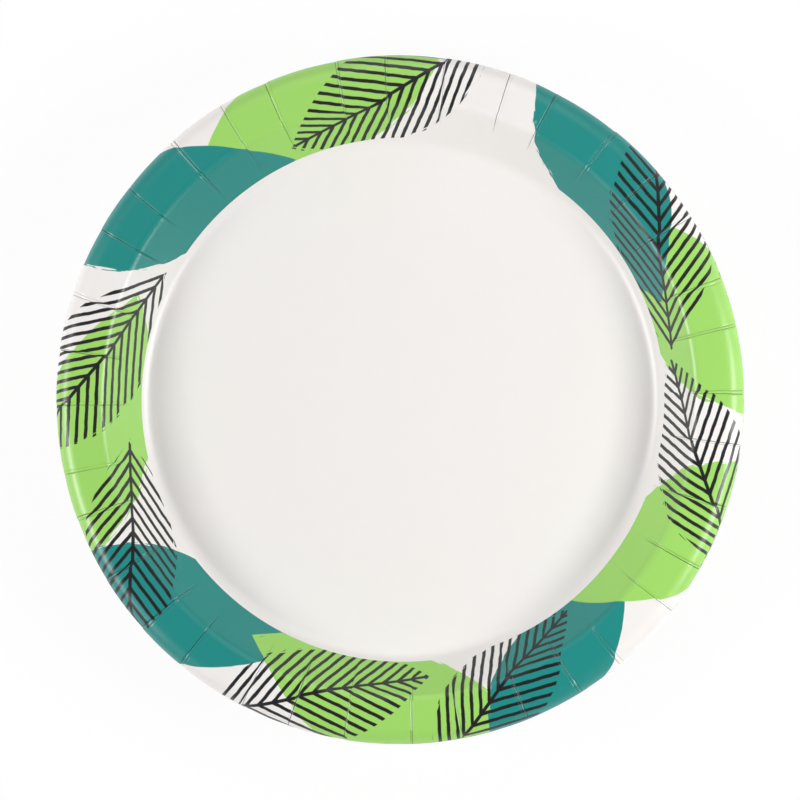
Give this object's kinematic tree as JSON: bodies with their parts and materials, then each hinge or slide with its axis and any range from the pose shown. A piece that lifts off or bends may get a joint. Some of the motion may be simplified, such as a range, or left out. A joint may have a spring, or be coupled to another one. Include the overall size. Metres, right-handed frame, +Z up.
{
  "type": "stack of paper plates",
  "caption": "Nested stack of round disposable plates pressed from coated board, each with a flat floor, sloping wall, level brim, turned-down lip and radial pleats.",
  "frame": {"origin": "on the stack's axis, at the level of the surface that the bottom plate stands on", "axes": "+Z up, along the plates' common axis; X and Y are two directions across the plates"},
  "size_m": [0.2562, 0.2562, 0.0354],
  "materials": {
    "coated_paperboard": "satin coated board, printed around the rim"
  },
  "bodies": {
    "root": {"plate_01": "coated_paperboard", "plate_02": "coated_paperboard", "plate_03": "coated_paperboard", "plate_04": "coated_paperboard", "plate_05": "coated_paperboard", "plate_06": "coated_paperboard", "plate_07": "coated_paperboard", "plate_08": "coated_paperboard", "plate_09": "coated_paperboard", "plate_10": "coated_paperboard", "plate_11": "coated_paperboard", "plate_12": "coated_paperboard"}
  },
  "joints": []
}
